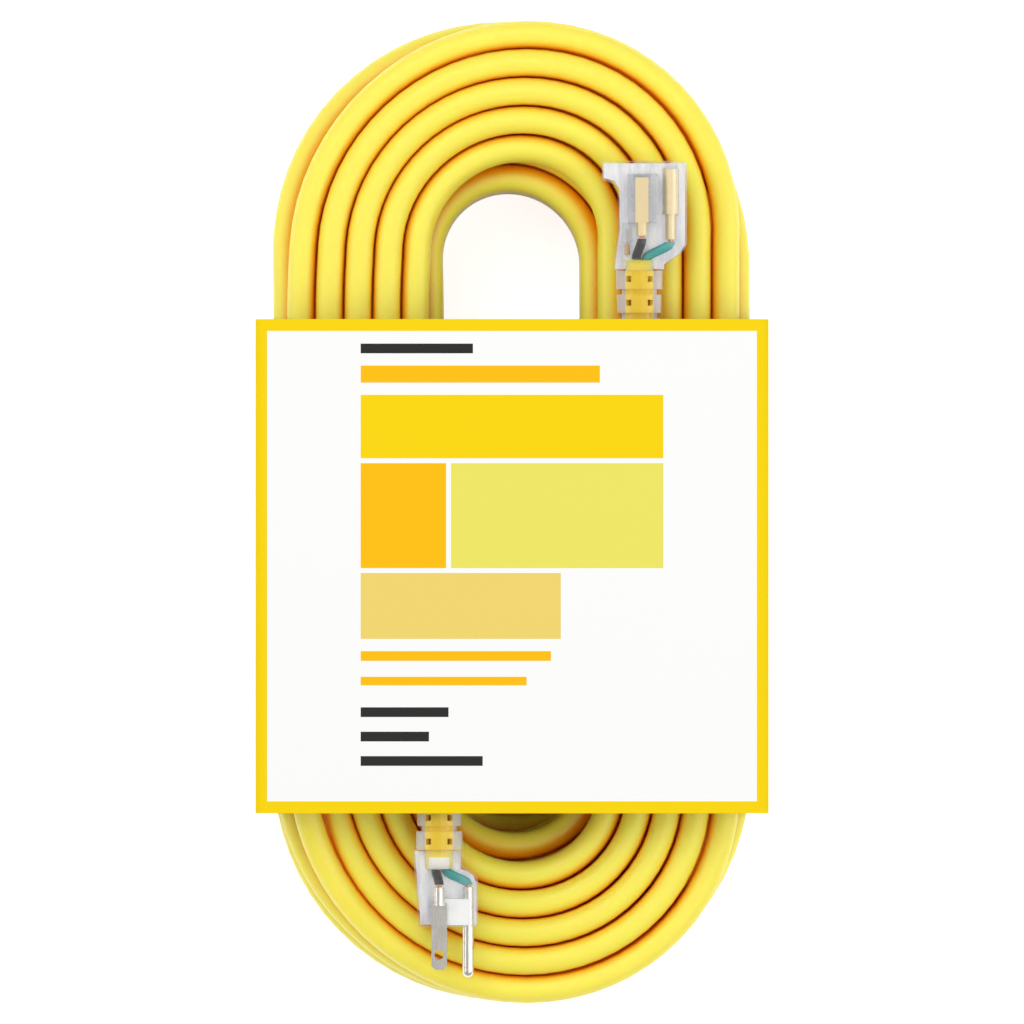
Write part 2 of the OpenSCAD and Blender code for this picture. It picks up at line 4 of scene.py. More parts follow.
import bmesh
import bpy
import numpy as np
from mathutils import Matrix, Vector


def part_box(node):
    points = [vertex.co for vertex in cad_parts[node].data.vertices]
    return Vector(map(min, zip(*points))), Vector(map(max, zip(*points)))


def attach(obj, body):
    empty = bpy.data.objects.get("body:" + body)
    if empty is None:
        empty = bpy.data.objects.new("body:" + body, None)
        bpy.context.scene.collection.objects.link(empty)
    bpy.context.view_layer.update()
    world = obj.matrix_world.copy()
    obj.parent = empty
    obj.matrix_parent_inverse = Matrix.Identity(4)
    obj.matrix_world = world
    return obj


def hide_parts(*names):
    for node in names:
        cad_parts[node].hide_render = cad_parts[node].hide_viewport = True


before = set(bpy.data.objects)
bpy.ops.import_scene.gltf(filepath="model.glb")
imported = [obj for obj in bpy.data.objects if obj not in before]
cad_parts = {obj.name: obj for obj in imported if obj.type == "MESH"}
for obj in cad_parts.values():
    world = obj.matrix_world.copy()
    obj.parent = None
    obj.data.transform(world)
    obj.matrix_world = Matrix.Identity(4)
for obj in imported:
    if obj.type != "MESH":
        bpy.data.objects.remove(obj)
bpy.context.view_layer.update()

bl_info = {
    "name": "Extension Cord Hank",
    "version": (1, 0, 0),
    "blender": (4, 5, 0),
    "location": "View3D > Sidebar > Cord",
    "description": "Builds a coiled outdoor extension cord on its CAD frame",
    "category": "Add Mesh",
}

MM = 0.001


# --------------------------------------------------------------------------
# Settings
# --------------------------------------------------------------------------
def metres(name, description, default, low=0.0, high=1.0):
    """A length property in metres."""
    return bpy.props.FloatProperty(
        name=name, description=description, default=default, min=low,
        max=high, precision=5, subtype="DISTANCE", unit="LENGTH")


def hex_colour(name, description, default):
    """A colour property kept as an sRGB hex text."""
    return bpy.props.StringProperty(
        name=name, description=description, default=default, maxlen=7)


class CordSettings(bpy.types.PropertyGroup):
    """The cord itself and how its turns lie."""

    diameter: metres("Diameter", "Outside diameter of the jacket", 11.2 * MM)
    fold_radius: metres(
        "Fold radius", "Centreline radius of the tightest fold", 34 * MM)
    half_run: metres(
        "Half run", "From the middle to each fold's centre", 104 * MM)
    turn_step: metres(
        "Turn step", "Distance between turns side by side", 11.8 * MM)
    layer_step: metres(
        "Layer step", "Distance between layers of turns", 11.8 * MM)
    crown: metres("Crown", "How much higher the middle lies", 8 * MM)
    lay_z: metres("Lay", "Height of the lowest layer's centre", 6.7 * MM)
    end_lift: metres(
        "End lift", "Rise of the last fold towards its lead", 11 * MM)
    jacket: hex_colour("Jacket", "Colour of the PVC jacket", "#FBEB5A")
    # Painted shade: the orange given to the jacket between close turns, where
    # the occlusion is low.
    gap: hex_colour("Gaps", "The jacket's colour between close turns",
                    "#FFB000")
    # Painted shade: the deeper orange given to the jacket low in the hank's
    # hole, where the wide occlusion is low.
    hole_painted_shade: hex_colour("Deep", "The jacket's colour low in the hank's hole",
                     "#FFA400")
    moulded: hex_colour("Moulded in", "The jacket's colour inside the clear "
                        "mouldings", "#FFDE24")
    # Painted shade: the dark amber given to the jacket in the strain reliefs'
    # windows.
    window: hex_colour("Windows", "The jacket's colour in the strain "
                       "reliefs' windows", "#C27E0A")


class SleeveSettings(bpy.types.PropertyGroup):
    """The printed card sleeve."""

    border: metres("Border", "Width of the printed border", 4.9 * MM)
    crease: metres("Crease", "Outside radius of the folds", 3 * MM)
    thickness: metres("Thickness", "Thickness of the card", 0.8 * MM)
    card: hex_colour("Card", "Colour of the coated card", "#F1F1EF")
    board: hex_colour("Board", "The card's uncoated inner side", "#DEDACE")
    yellow: hex_colour("Yellow", "Main printed yellow", "#EFCD00")
    pale: hex_colour("Pale", "Pale printed yellow", "#E3DC60")
    orange: hex_colour("Orange", "Printed orange yellow", "#F5B807")
    sand: hex_colour("Sand", "Printed sand colour", "#E7CC6A")
    ink: hex_colour("Ink", "Printed dark grey", "#2B2B2B")


class CapSettings(bpy.types.PropertyGroup):
    """The clear plug, connector and strain reliefs."""

    plastic: hex_colour("Plastic", "Tint of the clear PVC", "#EEF1F4")
    haze: bpy.props.FloatProperty(
        name="Haze", description="How milky the clear PVC looks face on",
        default=0.035, min=0.0, max=1.0, subtype="FACTOR")
    # Painted glow: the jacket's yellow given to the clear PVC close over it,
    # for the jacket's light seen through the wall.
    over: hex_colour("Over", "Clear PVC close over the yellow jacket",
                     "#FFDD48")
    web: hex_colour("Web", "Milky inner moulding", "#FBFBFC")
    web_shade: hex_colour("Web shade", "Its shaded streaks", "#DDDDE6")
    nickel: hex_colour("Nickel", "Plated blades and pin", "#D2CEC6")
    brass: hex_colour("Brass", "Stamped contacts", "#E0CC9C")
    copper: hex_colour("Copper", "Bare strands", "#C9814F")
    line: hex_colour("Line", "Line wire", "#060606")
    neutral: hex_colour("Neutral", "Neutral wire", "#F1F1EE")
    ground: hex_colour("Ground", "Ground wire", "#009E98")


class StageSettings(bpy.types.PropertyGroup):
    """Camera, floor and lamps."""

    view_width: metres(
        "View width", "What the frame takes in at the object", 421.6 * MM)
    distance: metres("Distance", "From the lens to the floor", 6.0, 1, 20)
    key: bpy.props.FloatProperty(
        name="Key", description="Strength of the main lamp in watts",
        default=15.2, min=0.0, max=500.0, unit="POWER")
    ambient: bpy.props.FloatProperty(
        name="Ambient", description="Strength of the even light all round",
        default=0.54, min=0.0, max=5.0)
    floor_glow: bpy.props.FloatProperty(
        name="Floor glow", description="What the floor adds where it is seen",
        default=0.82, min=0.0, max=5.0)


# --------------------------------------------------------------------------
# Colours and nodes
# --------------------------------------------------------------------------
def linear(code):
    """sRGB hex to linear RGBA: below 0.04045 divided by 12.92, above it
    ((c + 0.055) / 1.055) to the power 2.4."""
    c = np.array([int(code[i:i + 2], 16) for i in (1, 3, 5)]) / 255
    c = np.where(c <= 0.04045, c / 12.92, ((c + 0.055) / 1.055) ** 2.4)
    return (*[float(v) for v in c], 1.0)


def node(mat, kind, settings=(), links=()):
    """Adds a shader node, sets its properties or sockets, and links outputs
    of other nodes into its sockets."""
    n = mat.node_tree.nodes.new(kind)
    for key, value in dict(settings).items():
        if isinstance(key, str) and hasattr(n, key):
            setattr(n, key, value)
        else:
            n.inputs[key].default_value = value
    for key, output in dict(links).items():
        mat.node_tree.links.new(output, n.inputs[key])
    return n


def material(name):
    """A new node material and its Principled shader."""
    mat = bpy.data.materials.new(name)
    mat.use_nodes = True
    return mat, mat.node_tree.nodes["Principled BSDF"]


def feed(mat, socket, value):
    """Links another node's output into a socket, or sets a plain value."""
    if isinstance(value, bpy.types.NodeSocket):
        mat.node_tree.links.new(value, socket)
    else:
        socket.default_value = value


def set_values(pbr, values):
    """Plain values of a Principled shader."""
    for key, value in values.items():
        pbr.inputs[key].default_value = value


def maths(mat, operation, *values):
    """One sum on one or two shader values."""
    n = node(mat, "ShaderNodeMath", {"operation": operation})
    for socket, value in zip(n.inputs, values):
        feed(mat, socket, value)
    return n.outputs[0]


def remap(mat, value, span, to=(0.0, 1.0)):
    """A value carried from one span to another and kept inside it."""
    return node(mat, "ShaderNodeMapRange", {
        "From Min": span[0], "From Max": span[1],
        "To Min": to[0], "To Max": to[1]},
        {"Value": value}).outputs["Result"]


def blend(mat, factor, first, second):
    """Two colours mixed: the first at 0, the second at 1."""
    n = node(mat, "ShaderNodeMix", {"data_type": "RGBA"})
    for key, value in ((0, factor), (6, first), (7, second)):
        feed(mat, n.inputs[key], value)
    return n.outputs[2]


def noise(mat, vector, scale, detail=2.0):
    """Soft noise from 0 to 1, scale in cells per metre."""
    return node(mat, "ShaderNodeTexNoise", {
        "Scale": scale, "Detail": detail}, {"Vector": vector}).outputs["Fac"]


def bumps(mat, pbr, height, strength, distance):
    """Fine bumps of the surface, from a height value."""
    bump = node(mat, "ShaderNodeBump", {
        "Strength": strength, "Distance": distance}, {"Height": height})
    feed(mat, pbr.inputs["Normal"], bump.outputs["Normal"])


def paint(obj, mat):
    """The object's only material."""
    obj.data.materials.clear()
    obj.data.materials.append(mat)
    return obj


# --------------------------------------------------------------------------
# Mesh making
# --------------------------------------------------------------------------
def grid_faces(rows, cols, wrap):
    """Quads of a rows by cols grid, wrapped round in the column direction."""
    r = np.arange(rows - 1)[:, None]
    c = np.arange(cols if wrap else cols - 1)[None, :]
    a = r * cols + c
    b = r * cols + (c + 1) % cols
    return np.stack([a, b, b + cols, a + cols], -1).reshape(-1, 4)


def mesh_object(name, verts, faces, uvs=None, smooth=True):
    """Puts a vertex array and a face list into a new mesh object."""
    me = bpy.data.meshes.new(name)
    me.from_pydata(np.asarray(verts, float).tolist(), [],
                   [list(map(int, f)) for f in faces])
    if smooth:
        me.polygons.foreach_set("use_smooth", [True] * len(me.polygons))
    if uvs is not None:
        layer = me.uv_layers.new(name="UVMap")
        index = np.empty(len(me.loops), int)
        me.loops.foreach_get("vertex_index", index)
        layer.data.foreach_set("uv", np.asarray(uvs)[index].ravel())
    me.update()
    obj = bpy.data.objects.new(name, me)
    bpy.context.scene.collection.objects.link(obj)
    return obj


# A moulding's rounded edges: those sharper than the angle, and the faces
# across each. Vertices closer than MERGE are one, and faces that meet
# flatter than FLAT_ANGLE are joined first.
EDGE_ANGLE = np.radians(35.0)
EDGE_SEGMENTS = 3
MERGE = 0.002 * MM
FLAT_ANGLE = np.radians(0.6)


def softened(name, new_name, width, flat=True):
    """A merged copy of a CAD node with the moulding's rounded edges: every
    edge sharper than the angle gets a bevel of that width. Where flat is
    set, the faces between the edges keep their flat shading."""
    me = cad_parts[name].data.copy()
    bm = bmesh.new()
    bm.from_mesh(me)
    bmesh.ops.remove_doubles(bm, verts=bm.verts, dist=MERGE)
    bmesh.ops.dissolve_limit(bm, angle_limit=FLAT_ANGLE,
                             verts=bm.verts, edges=bm.edges)
    bm.to_mesh(me)
    bm.free()
    me.name = new_name
    me.materials.clear()
    me.polygons.foreach_set("use_smooth", [True] * len(me.polygons))
    me.set_sharp_from_angle(angle=EDGE_ANGLE)
    obj = bpy.data.objects.new(new_name, me)
    bpy.context.scene.collection.objects.link(obj)
    bevel = obj.modifiers.new("rounded_edges", "BEVEL")
    bevel.width = width
    bevel.segments = EDGE_SEGMENTS
    bevel.limit_method = "ANGLE"
    bevel.angle_limit = EDGE_ANGLE
    bevel.miter_outer = "MITER_ARC"
    bevel.harden_normals = flat
    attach(obj, "hank")
    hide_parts(name)
    return obj


def plate(name, outline, place, thick):
    """A flat plate at a height: the outline, in mm in a cap's own frame,
    carried up and down by half its thickness."""
    p = np.asarray(outline, float) * MM + np.asarray(place)[:2]
    n = len(p)
    z = place[2] + np.array([-0.5, 0.5]) * thick
    verts = np.concatenate([np.column_stack([p, np.full(n, h)]) for h in z])
    k = np.arange(n)
    walls = np.stack([k, (k + 1) % n, (k + 1) % n + n, k + n], 1).tolist()
    faces = [list(range(n))[::-1], list(range(n, 2 * n))] + walls
    area = np.sum(p[:, 0] * np.roll(p[:, 1], -1)
                  - p[:, 1] * np.roll(p[:, 0], -1))
    if area < 0:
        faces = [f[::-1] for f in faces]
    return mesh_object(name, verts, faces, smooth=False)


def unit(v):
    """The vectors at length 1."""
    return v / np.linalg.norm(v, axis=-1, keepdims=True)


def tube(name, path, radius, sides):
    """A tube along a path: p + r (side cos a + up sin a), where side is the
    heading crossed with +Z and up is side crossed with the heading. Its UV
    map is metres along the path and turns round it."""
    path = np.asarray(path, float)
    n = len(path)
    heading = unit(np.gradient(path, axis=0))
    side = unit(np.cross(heading, [0.0, 0.0, 1.0]))
    up = np.cross(side, heading)
    a = np.linspace(0, 2 * np.pi, sides, endpoint=False)
    ring = path[:, None] + radius * (
        side[:, None] * np.cos(a)[None, :, None]
        + up[:, None] * np.sin(a)[None, :, None])
    verts = ring.reshape(-1, 3)
    faces = [list(f[::-1]) for f in grid_faces(n, sides, True)]
    faces.append(list(range(sides)))
    faces.append([(n - 1) * sides + k for k in range(sides)][::-1])
    run = np.concatenate([[0], np.cumsum(
        np.linalg.norm(np.diff(path, axis=0), axis=1))])
    uv = np.stack([np.repeat(run, sides), np.tile(
        np.arange(sides) / sides, n)], 1)
    obj = mesh_object(name, verts, faces, uv)
    for p in obj.data.polygons[-2:]:
        p.use_smooth = False
    return obj


def spline(points, steps, start, end):
    """A smooth cubic through given points. The slopes at the points are solved
    so that the curve's bend is continuous, with set end headings."""
    p = np.asarray(points, float)
    d = np.linalg.norm(np.diff(p, axis=0), axis=1)
    n = len(p)
    m = np.zeros((n, n))
    b = np.zeros((n, 3))
    m[0, 0] = m[-1, -1] = 1
    b[0], b[-1] = start, end
    i = np.arange(1, n - 1)
    m[i, i - 1] = d[1:]
    m[i, i] = 2 * (d[1:] + d[:-1])
    m[i, i + 1] = d[:-1]
    b[1:-1] = 3 * (np.diff(p, axis=0)[1:] * (d[:-1] / d[1:])[:, None]
                   + np.diff(p, axis=0)[:-1] * (d[1:] / d[:-1])[:, None])
    s = np.linalg.solve(m, b)
    t = np.linspace(0, 1, steps, endpoint=False)[None, :, None]
    h = (2 * t**3 - 3 * t**2 + 1, t**3 - 2 * t**2 + t,
         -2 * t**3 + 3 * t**2, t**3 - t**2)
    d = d[:, None, None]
    c = (h[0] * p[:-1, None] + h[1] * d * s[:-1, None]
         + h[2] * p[1:, None] + h[3] * d * s[1:, None])
    return np.concatenate([c.reshape(-1, 3), p[-1:]])


# --------------------------------------------------------------------------
# The cord's path
# --------------------------------------------------------------------------
# Turns in each row, from the lowest, and the places in a row, counted in
# turns from the innermost: its middle, half its width, and the two past its
# ends where the cord climbs to the next row.
TURNS = [4, 6, 5, 6, 5, 6, 5]
TOP_ROW = len(TURNS) - 1
MIDDLE_TURN, HALF_WIDTH = 2.5, 3
OUTER_WAY, HOLE_WAY = 5.47, -0.99

# Spans along Y of the run back: where a turn shifts to its next place, where
# it climbs a row, and where it returns from the way past the others. A shift
# starts at least SHIFT_AFTER past the end of the fold.
SHIFT = (-97 * MM, -35 * MM)
TOP_SHIFT = (-65 * MM, 0.0)
CLIMB = (-40 * MM, 30 * MM)
RETURN = (12 * MM, 80 * MM)
SHIFT_AFTER = 7 * MM

# The angle in radians, from the start of the last fold, where it begins to
# rise to its lead.
LIFT_FROM = 1.95

# Points of each fold and of the straight between two folds, and how far the
# straight's own points keep from the fold's end.
FOLD_POINTS, RUN_POINTS = 33, 27
CLEAR_OF_FOLD = 1 * MM

# Centres of the two faces, and the outlines of the milky webs inside.
PLUG_PLACE = np.array([-29.9, -170.1, 103.8]) * MM
CONNECTOR_PLACE = np.array([52.3, 143.9, 104.8]) * MM
PLUG_WEB = [(-7.6, 0.7), (15.3, 0.7), (15.3, 17.5), (14, 20.8),
            (11.5, 22.6), (8.8, 23.4), (8.8, 30.9), (-10, 30.9)]
CONNECTOR_WEB = [(-14.7, -0.7), (-14.7, -6.7), (-10.4, -7.8), (-8.2, -11),
                 (-8.1, -28), (-9.9, -42.6), (-9.9, -44.2), (10.1, -44.2),
                 (10.1, -42.2), (16.6, -37.4), (18.8, -34.2), (18.8, -0.7)]

# Listed points of the free ends: from the plug over the hank's middle down
# through the hole, and from the last fold across the hank to the connector.
PLUG_ROUTE = np.array([
    [-29.9, -146.5, 103.8], [-29.9, -123, 103.8],
    [-29.9, -99.6, 103.8], [-29, -88, 104], [-25.5, -76, 102],
    [-21, -64, 96.5], [-16, -52, 86.5], [-11.5, -42, 72],
    [-10.5, -33, 58.5], [-10.5, -24, 45.5], [-10.5, -15, 32],
    [-10.5, -6, 20.5], [-10.5, 4, 13], [-11, 15, 8.5], [-12.5, 27, 6.7],
    [-18, 40, 6.7], [-25, 53, 6.7], [-32, 66, 6.7], [-38, 79, 6.7],
    [-39.9, 92.8, 6.7]]) * MM
CONNECTOR_ROUTE = np.array([
    [-87.1, -98.7, 96], [-86.5, -82.5, 98.5], [-81.5, -67.5, 101],
    [-72, -54, 102.5], [-59.5, -44.5, 104], [-45.5, -36, 104.5],
    [-32, -27.5, 104.5], [-18, -19, 104.5], [-4.5, -10.5, 104.5],
    [9, -2, 104.5], [23, 7, 105], [36, 16, 105], [46, 29, 105],
    [51.5, 44, 105], [52.3, 60, 104.8], [52.3, 82, 104.8],
    [52.3, 103.3, 104.8]]) * MM


def ramp(y, span, e=0.28):
    """0 before the span and 1 after it: straight, with a parabola over the
    share e of the span at either end."""
    t = np.clip((y - span[0]) / (span[1] - span[0]), 0, 1)
    k = 1 / (1 - e)
    return np.where(t < e, k * t * t / (2 * e), np.where(
        t > 1 - e, 1 - k * (1 - t) ** 2 / (2 * e), k * (t - e / 2)))


# How far each row's folds lean aside for each metre past the bound middle:
# those at the connector's end, then those at the plug's.
LEAN = np.array([[0.04, 0.05], [-0.04, 0], [0.03, 0.05], [-0.05, -0.03],
                 [0.02, 0.06], [-0.035, 0.02], [0.065, 0.06]])
LEAN_FROM = 80 * MM
LEAN_EASE = 30 * MM

# How far the innermost fold of a row lies drawn in at the plug's end, so
# that the deep turns show in the hole.
DRAWN_IN = {0: 17 * MM, 2: 12 * MM}


def aside(j, y):
    """Sideways lean of row j at y: nothing in the middle, then a parabola
    over the ease and a straight line at the row's own rate."""
    a = np.abs(y) - LEAN_FROM
    run = np.where(a < 0, 0, np.where(
        a < LEAN_EASE, a * a / (2 * LEAN_EASE), a - LEAN_EASE / 2))
    return run * np.where(y < 0, LEAN[j, 1], LEAN[j, 0])


def hank_path(s):
    """The centreline of every turn in order. Each turn is a half circle, a
    straight run, a half circle and a run back, on which it shifts to the
    next place. Even rows travel outwards and odd rows inwards, and where
    the spiral reverses the cord climbs to the next row."""

    def height(j, u):
        crown = 1 - ((u - MIDDLE_TURN) / HALF_WIDTH) ** 2
        return (s.lay_z + j * s.layer_step
                + s.crown * j / TOP_ROW * crown)

    places = []
    for j, count in enumerate(TURNS):
        k = np.arange(count) + (0.5 if j % 2 == 0 else 0)
        places += [(j, float(u)) for u in (k if j % 2 == 0 else k[::-1])]
    a = np.linspace(np.pi, 0, FOLD_POINTS)
    stations = np.linspace(-s.half_run, s.half_run, RUN_POINTS)[1:-1]
    out = []
    for i, (j, u) in enumerate(places):
        last = i == len(places) - 1
        r = s.fold_radius + u * s.turn_step
        c = s.half_run + (s.turn_step / 2 if j == TOP_ROW else 0)
        low_c = c - (DRAWN_IN.get(j, 0) if u < 1 else 0)
        z = np.full(FOLD_POINTS, height(j, u))
        rise = np.clip((np.pi - a - LIFT_FROM) / (np.pi - LIFT_FROM), 0, 1)
        low_z = z + (s.end_lift * rise**2 if last else 0)
        x, end = r * np.cos(a), c + r * np.sin(a)
        out.append(np.stack([x + aside(j, end), end, z], 1))
        low_end = low_c + r * np.sin(a)
        out.append(np.stack([-x + aside(j, -low_end), -low_end, low_z], 1))
        if last:
            break
        j2, u2 = places[i + 1]
        y = stations[stations > CLEAR_OF_FOLD - low_c]
        go = ramp(y, TOP_SHIFT if j == TOP_ROW else (
            max(SHIFT[0], SHIFT_AFTER - low_c), SHIFT[1]))
        if j == j2:
            uu, up = u + (u2 - u) * go, go * 0
        else:
            # Out past the others, or into the hole, then up and back.
            way = OUTER_WAY if j % 2 == 0 else HOLE_WAY
            uu = u + (way - u) * go + (u2 - way) * ramp(y, RETURN)
            up = ramp(y, CLIMB)
        zz = height(j, uu) * (1 - up) + height(j2, uu) * up
        lean = aside(j, np.minimum(y, 0)) + aside(j2, np.maximum(y, 0))
        out.append(np.stack([
            lean - (s.fold_radius + uu * s.turn_step), y, zz], 1))
    return np.concatenate(out)


# --------------------------------------------------------------------------
# Materials
# --------------------------------------------------------------------------
# The jacket inside the clear mouldings, as distances from the cord's end:
# where the wet look starts and is full, and where the shade behind a strain
# relief's windows comes in and goes out.
WET_SPAN = (47.5 * MM, 44 * MM)
WINDOW_START = (44 * MM, 43 * MM)
WINDOW_END = (8.5 * MM, 7.5 * MM)

# Half widths between which a strain relief turns from thin wall over the
# jacket to solid wing.
WING_SPAN = (5.2 * MM, 6.4 * MM)

# Height above which only the front panel of the sleeve lies.
FRONT_FROM = 100 * MM

# The print on the front panel: the ink's setting, then the block's left,
# right, low and high edge in millimetres from the middle.
PRINT = (
    ("yellow", -62, 62, 22, 48), ("orange", -62, -27, -23, 20),
    ("pale", -25, 62, -23, 20), ("sand", -62, 20, -52, -25),
    ("ink", -62, -16, 65, 69), ("orange", -62, 36, 53, 60),
    ("orange", -62, 16, -61, -57), ("orange", -62, 6, -71, -67.5),
    ("ink", -62, -26, -84, -80), ("ink", -62, -34, -94, -90),
    ("ink", -62, -12, -104, -100),
)


def jacket_material(s, length):
    """Satin PVC, extruded: a soft sheen, faint drawn lines along the cord and
    slight mottling. It has painted orange shade between close turns and low in
    the coil's hole, and painted dark shade in the strain reliefs' windows."""
    mat, pbr = material("pvc_jacket_extruded")
    where = node(mat, "ShaderNodeTexCoord")
    base = linear(s.jacket)
    mottled = (base[0] * 0.98, base[1] * 0.96, base[2] * 0.85, 1)
    skin_and_painted_shade = blend(mat, noise(mat, where.outputs["Object"], 60.0),
                 base, mottled)
    # Painted shade: between close turns, where the near occlusion is low, the
    # jacket is coloured orange for light that has already passed through other
    # jackets.
    near = node(mat, "ShaderNodeAmbientOcclusion",
                {"samples": 8, "only_local": True, "Distance": 16 * MM})
    skin_and_painted_shade = blend(mat, remap(mat, near.outputs["AO"], (0.2, 0.9), (1, 0)),
                 skin_and_painted_shade, linear(s.gap))
    # Painted shade: low in the coil's hole, where the wide occlusion is low,
    # the jacket is coloured a deeper orange too.
    far = node(mat, "ShaderNodeAmbientOcclusion",
               {"samples": 6, "Distance": 70 * MM})
    skin_and_painted_shade = blend(mat, remap(mat, far.outputs["AO"], (0.04, 0.34), (1, 0)),
                 skin_and_painted_shade, linear(s.hole_painted_shade))
    # Inside the clear mouldings the vinyl looks wet and deeper. U runs
    # along the cord in metres.
    run = node(mat, "ShaderNodeSeparateXYZ", (), {0: where.outputs["UV"]})
    past = maths(mat, "ABSOLUTE", maths(
        mat, "SUBTRACT", run.outputs[0], length / 2))

    def from_end(span, to):
        return remap(mat, past, (length / 2 - span[0], length / 2 - span[1]),
                     to)

    skin_and_painted_shade = blend(mat, from_end(WET_SPAN, (0, 1)), skin_and_painted_shade, linear(s.moulded))
    # Painted shade: in the strain reliefs' windows the jacket is coloured dark
    # amber for the shade in those recesses.
    shaded = maths(mat, "MULTIPLY", from_end(WINDOW_START, (0, 1)),
                   from_end(WINDOW_END, (1, 0)))
    feed(mat, pbr.inputs["Base Color"],
         blend(mat, shaded, skin_and_painted_shade, linear(s.window)))
    # Drawn lines about 0.7 mm apart round a 35 mm girth.
    lines = node(mat, "ShaderNodeMapping", {"Scale": (8.0, 50.0, 1.0)},
                 {"Vector": where.outputs["UV"]})
    bumps(mat, pbr, noise(mat, lines.outputs["Vector"], 1.0, 3.0),
          0.06, 0.4 * MM)
    # Light goes a little way into the soft vinyl and comes out warmer.
    set_values(pbr, {
        "Roughness": 0.42, "IOR": 1.5, "Subsurface Weight": 0.8,
        "Subsurface Radius": (1.0, 0.5, 0.08), "Subsurface Scale": 7 * MM})
    return mat


def clear_material(s, name, haze, axes=()):
    """Clear moulded PVC: it shows what is inside, and turns milky where the
    wall is seen edge on. A strain relief is closed round the jacket, and over
    the jacket it has a painted glow: it is coloured the jacket's yellow and
    made more opaque, for the jacket's light seen through the wall. The
    jacket's axis lies along Y at each of the axes. Beside the jacket the
    relief is solid and milkier."""
    mat, pbr = material(name)
    facing = node(mat, "ShaderNodeLayerWeight", {"Blend": 0.42})
    where = node(mat, "ShaderNodeTexCoord")
    cloud = noise(mat, where.outputs["Object"], 140.0)
    edge = remap(mat, facing.outputs["Facing"], (0, 1),
                 (haze, min(1.0, haze + 0.45)))
    alpha = maths(mat, "MULTIPLY", edge,
                  remap(mat, cloud, (0.3, 0.7), (0.85, 1.15)))
    feed(mat, pbr.inputs["Base Color"], linear(s.plastic))
    if axes:
        xyz = node(mat, "ShaderNodeSeparateXYZ", (),
                   {0: where.outputs["Object"]})
        off = [maths(mat, "ABSOLUTE", maths(
            mat, "SUBTRACT", xyz.outputs[0], float(x))) for x in axes]
        apart = maths(mat, "MINIMUM", *off)
        # Painted glow: over the jacket the clear wall is coloured the jacket's
        # yellow and made more opaque, for the jacket's light seen through it;
        # the solid wings beside it stay milky plastic.
        alpha = maths(mat, "ADD", alpha,
                      remap(mat, apart, WING_SPAN, (0.55, 0.34)))
        feed(mat, pbr.inputs["Base Color"], blend(
            mat, remap(mat, apart, WING_SPAN), linear(s.over),
            linear(s.plastic)))
    feed(mat, pbr.inputs["Alpha"], alpha)
    bumps(mat, pbr, cloud, 0.12, 0.3 * MM)
    set_values(pbr, {
        "Roughness": 0.13, "IOR": 1.53, "Specular IOR Level": 0.3})
    return mat


def milky_material(s):
    """Milky PVC of the first moulding round the contacts: flow streaks about
    3 mm wide and fine bubbles, drawn about 0.4 mm across so that they show."""
    mat, pbr = material("pvc_milky_premould")
    where = node(mat, "ShaderNodeTexCoord")
    along = node(mat, "ShaderNodeMapping", {"Scale": (330.0, 70.0, 330.0)},
                 {"Vector": where.outputs["Object"]})
    flow = noise(mat, along.outputs["Vector"], 1.0)
    bubbles = node(mat, "ShaderNodeTexVoronoi", {"Scale": 1100.0},
                   {"Vector": where.outputs["Object"]})
    feed(mat, pbr.inputs["Base Color"], blend(
        mat, remap(mat, flow, (0.35, 0.65)), linear(s.web_shade),
        linear(s.web)))
    feed(mat, pbr.inputs["Alpha"], maths(mat, "MULTIPLY", remap(
        mat, bubbles.outputs["Distance"], (0, 0.35), (0.78, 1)), 0.86))
    set_values(pbr, {"Roughness": 0.4, "IOR": 1.53})
    return mat


def metal_material(name, code, roughness):
    """Plated or stamped metal with faint lines along the stamping, about
    1 mm apart."""
    mat, pbr = material(name)
    where = node(mat, "ShaderNodeTexCoord")
    lines = node(mat, "ShaderNodeMapping", {"Scale": (900.0, 120.0, 900.0)},
                 {"Vector": where.outputs["Object"]})
    grain = noise(mat, lines.outputs["Vector"], 1.0, 3.0)
    feed(mat, pbr.inputs["Roughness"], remap(
        mat, grain, (0, 1), (roughness - 0.07, roughness + 0.1)))
    bumps(mat, pbr, grain, 0.08, 0.1 * MM)
    set_values(pbr, {"Base Color": linear(code), "Metallic": 1.0})
    return mat


def plastic_material(name, code, roughness):
    """Moulded or extruded plastic with slight unevenness, about 2.5 mm
    wide."""
    mat, pbr = material(name)
    where = node(mat, "ShaderNodeTexCoord")
    cloud = noise(mat, where.outputs["Object"], 400.0)
    feed(mat, pbr.inputs["Roughness"], remap(
        mat, cloud, (0, 1), (roughness - 0.08, roughness + 0.08)))
    bumps(mat, pbr, cloud, 0.1, 0.2 * MM)
    set_values(pbr, {"Base Color": linear(code), "IOR": 1.5})
    return mat


def distance_from(mat, value, centre):
    """How far a coordinate is from a centre, to either side."""
    return maths(mat, "ABSOLUTE", maths(mat, "SUBTRACT", value, centre))


def block_mask(mat, x, y, x0, x1, y0, y1):
    """1 inside a rectangle seen from above, sizes in metres."""
    return maths(mat, "MULTIPLY", *[
        maths(mat, "LESS_THAN",
              distance_from(mat, value, (a + b) / 2), (b - a) / 2)
        for value, a, b in ((x, x0, x1), (y, y0, y1))])


